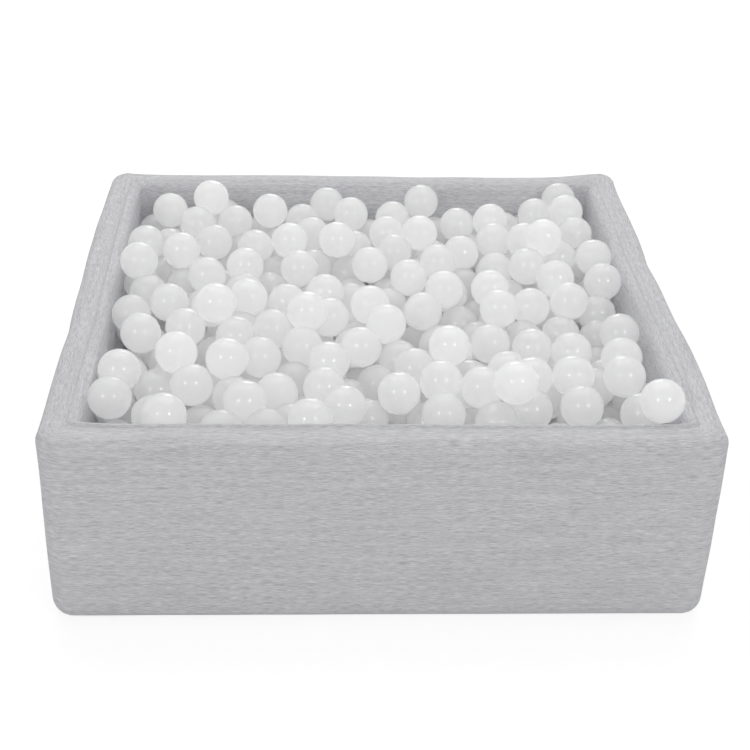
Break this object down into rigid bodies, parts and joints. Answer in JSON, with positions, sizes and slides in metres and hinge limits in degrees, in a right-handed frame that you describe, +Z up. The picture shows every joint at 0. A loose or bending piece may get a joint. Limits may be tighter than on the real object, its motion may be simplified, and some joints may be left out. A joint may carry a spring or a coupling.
{
  "type": "ball pit",
  "caption": "Low square foam ball pit in a fitted grey melange jersey cover with a hidden zip, heaped with loose white plastic balls.",
  "frame": {"origin": "middle of the footprint, on the floor", "axes": "+Z up, +Y to the back with the zip, +X to the right seen from the front"},
  "size_m": [0.9, 0.9088, 0.3468],
  "materials": {
    "jersey": "light grey melange knit jersey",
    "lining": "grey woven lining",
    "foam": "cut polyurethane foam",
    "zip_tape": "woven tape",
    "zip_coil": "moulded nylon coil",
    "zip_metal": "painted die-cast zinc",
    "ball_plastic": "blown polyethylene, soft gloss, slightly translucent"
  },
  "bodies": {
    "pit": {"cover_sleeve": "jersey", "cover_floor": "jersey", "cover_underside": "lining", "foam_wall_front": "foam", "foam_wall_right": "foam", "foam_wall_back": "foam", "foam_wall_left": "foam", "foam_base": "foam", "zip_tape_lower": "zip_tape", "zip_tape_upper": "zip_tape", "zip_chain": "zip_coil", "zip_stop_shut": "zip_metal", "zip_stop_open": "zip_metal"},
    "zip_slider": {"zip_slider": "zip_metal"},
    "zip_pull_tab": {"zip_pull_tab": "zip_metal"},
    "ball_bed": {"ball_bed_01": "ball_plastic", "ball_bed_02": "ball_plastic", "ball_bed_03": "ball_plastic", "ball_bed_04": "ball_plastic", "ball_bed_05": "ball_plastic", "ball_bed_06": "ball_plastic", "ball_bed_07": "ball_plastic", "ball_bed_08": "ball_plastic", "ball_bed_09": "ball_plastic", "ball_bed_10": "ball_plastic", "ball_bed_11": "ball_plastic", "ball_bed_12": "ball_plastic", "ball_bed_13": "ball_plastic", "ball_bed_14": "ball_plastic", "ball_bed_15": "ball_plastic", "ball_bed_16": "ball_plastic", "ball_bed_17": "ball_plastic"},
    "ball_01": {"ball_01": "ball_plastic"},
    "ball_02": {"ball_02": "ball_plastic"},
    "ball_03": {"ball_03": "ball_plastic"},
    "ball_04": {"ball_04": "ball_plastic"},
    "ball_05": {"ball_05": "ball_plastic"},
    "ball_06": {"ball_06": "ball_plastic"},
    "ball_07": {"ball_07": "ball_plastic"},
    "ball_08": {"ball_08": "ball_plastic"},
    "ball_09": {"ball_09": "ball_plastic"},
    "ball_10": {"ball_10": "ball_plastic"},
    "ball_11": {"ball_11": "ball_plastic"},
    "ball_12": {"ball_12": "ball_plastic"},
    "ball_13": {"ball_13": "ball_plastic"},
    "ball_14": {"ball_14": "ball_plastic"},
    "ball_15": {"ball_15": "ball_plastic"},
    "ball_16": {"ball_16": "ball_plastic"},
    "ball_17": {"ball_17": "ball_plastic"},
    "ball_18": {"ball_18": "ball_plastic"},
    "ball_19": {"ball_19": "ball_plastic"},
    "ball_20": {"ball_20": "ball_plastic"},
    "ball_21": {"ball_21": "ball_plastic"},
    "ball_22": {"ball_22": "ball_plastic"},
    "ball_23": {"ball_23": "ball_plastic"},
    "ball_24": {"ball_24": "ball_plastic"},
    "ball_25": {"ball_25": "ball_plastic"},
    "ball_26": {"ball_26": "ball_plastic"}
  },
  "joints": [
    {"name": "closure_slider_run", "type": "slide", "parent": "pit", "child": "zip_slider", "axis": [1, 0, 0], "range_m": [0, 0.7574]},
    {"name": "closure_tab_swing", "type": "hinge", "parent": "zip_slider", "child": "zip_pull_tab", "pos_m": [-0.3787, 0.4565, 0.045], "axis": [0, 0, 1], "range_deg": [0, 180]},
    {"name": "heap_lift", "type": "slide", "parent": "pit", "child": "ball_bed", "axis": [0, 0, 1], "range_m": [0, 0.45]},
    {"name": "lift_ball_01", "type": "slide", "parent": "ball_bed", "child": "ball_01", "axis": [0, 0, 1], "range_m": [0, 0.25]},
    {"name": "lift_ball_02", "type": "slide", "parent": "ball_bed", "child": "ball_02", "axis": [0, 0, 1], "range_m": [0, 0.25]},
    {"name": "lift_ball_03", "type": "slide", "parent": "ball_bed", "child": "ball_03", "axis": [0, 0, 1], "range_m": [0, 0.25]},
    {"name": "lift_ball_04", "type": "slide", "parent": "ball_bed", "child": "ball_04", "axis": [0, 0, 1], "range_m": [0, 0.25]},
    {"name": "lift_ball_05", "type": "slide", "parent": "ball_bed", "child": "ball_05", "axis": [0, 0, 1], "range_m": [0, 0.25]},
    {"name": "lift_ball_06", "type": "slide", "parent": "ball_bed", "child": "ball_06", "axis": [0, 0, 1], "range_m": [0, 0.25]},
    {"name": "lift_ball_07", "type": "slide", "parent": "ball_bed", "child": "ball_07", "axis": [0, 0, 1], "range_m": [0, 0.25]},
    {"name": "lift_ball_08", "type": "slide", "parent": "ball_bed", "child": "ball_08", "axis": [0, 0, 1], "range_m": [0, 0.25]},
    {"name": "lift_ball_09", "type": "slide", "parent": "ball_bed", "child": "ball_09", "axis": [0, 0, 1], "range_m": [0, 0.25]},
    {"name": "lift_ball_10", "type": "slide", "parent": "ball_bed", "child": "ball_10", "axis": [0, 0, 1], "range_m": [0, 0.25]},
    {"name": "lift_ball_11", "type": "slide", "parent": "ball_bed", "child": "ball_11", "axis": [0, 0, 1], "range_m": [0, 0.25]},
    {"name": "lift_ball_12", "type": "slide", "parent": "ball_bed", "child": "ball_12", "axis": [0, 0, 1], "range_m": [0, 0.25]},
    {"name": "lift_ball_13", "type": "slide", "parent": "ball_bed", "child": "ball_13", "axis": [0, 0, 1], "range_m": [0, 0.25]},
    {"name": "lift_ball_14", "type": "slide", "parent": "ball_bed", "child": "ball_14", "axis": [0, 0, 1], "range_m": [0, 0.25]},
    {"name": "lift_ball_15", "type": "slide", "parent": "ball_bed", "child": "ball_15", "axis": [0, 0, 1], "range_m": [0, 0.25]},
    {"name": "lift_ball_16", "type": "slide", "parent": "ball_bed", "child": "ball_16", "axis": [0, 0, 1], "range_m": [0, 0.25]},
    {"name": "lift_ball_17", "type": "slide", "parent": "ball_bed", "child": "ball_17", "axis": [0, 0, 1], "range_m": [0, 0.25]},
    {"name": "lift_ball_18", "type": "slide", "parent": "ball_bed", "child": "ball_18", "axis": [0, 0, 1], "range_m": [0, 0.25]},
    {"name": "lift_ball_19", "type": "slide", "parent": "ball_bed", "child": "ball_19", "axis": [0, 0, 1], "range_m": [0, 0.25]},
    {"name": "lift_ball_20", "type": "slide", "parent": "ball_bed", "child": "ball_20", "axis": [0, 0, 1], "range_m": [0, 0.25]},
    {"name": "lift_ball_21", "type": "slide", "parent": "ball_bed", "child": "ball_21", "axis": [0, 0, 1], "range_m": [0, 0.25]},
    {"name": "lift_ball_22", "type": "slide", "parent": "ball_bed", "child": "ball_22", "axis": [0, 0, 1], "range_m": [0, 0.25]},
    {"name": "lift_ball_23", "type": "slide", "parent": "ball_bed", "child": "ball_23", "axis": [0, 0, 1], "range_m": [0, 0.25]},
    {"name": "lift_ball_24", "type": "slide", "parent": "ball_bed", "child": "ball_24", "axis": [0, 0, 1], "range_m": [0, 0.25]},
    {"name": "lift_ball_25", "type": "slide", "parent": "ball_bed", "child": "ball_25", "axis": [0, 0, 1], "range_m": [0, 0.25]},
    {"name": "lift_ball_26", "type": "slide", "parent": "ball_bed", "child": "ball_26", "axis": [0, 0, 1], "range_m": [0, 0.25]}
  ]
}
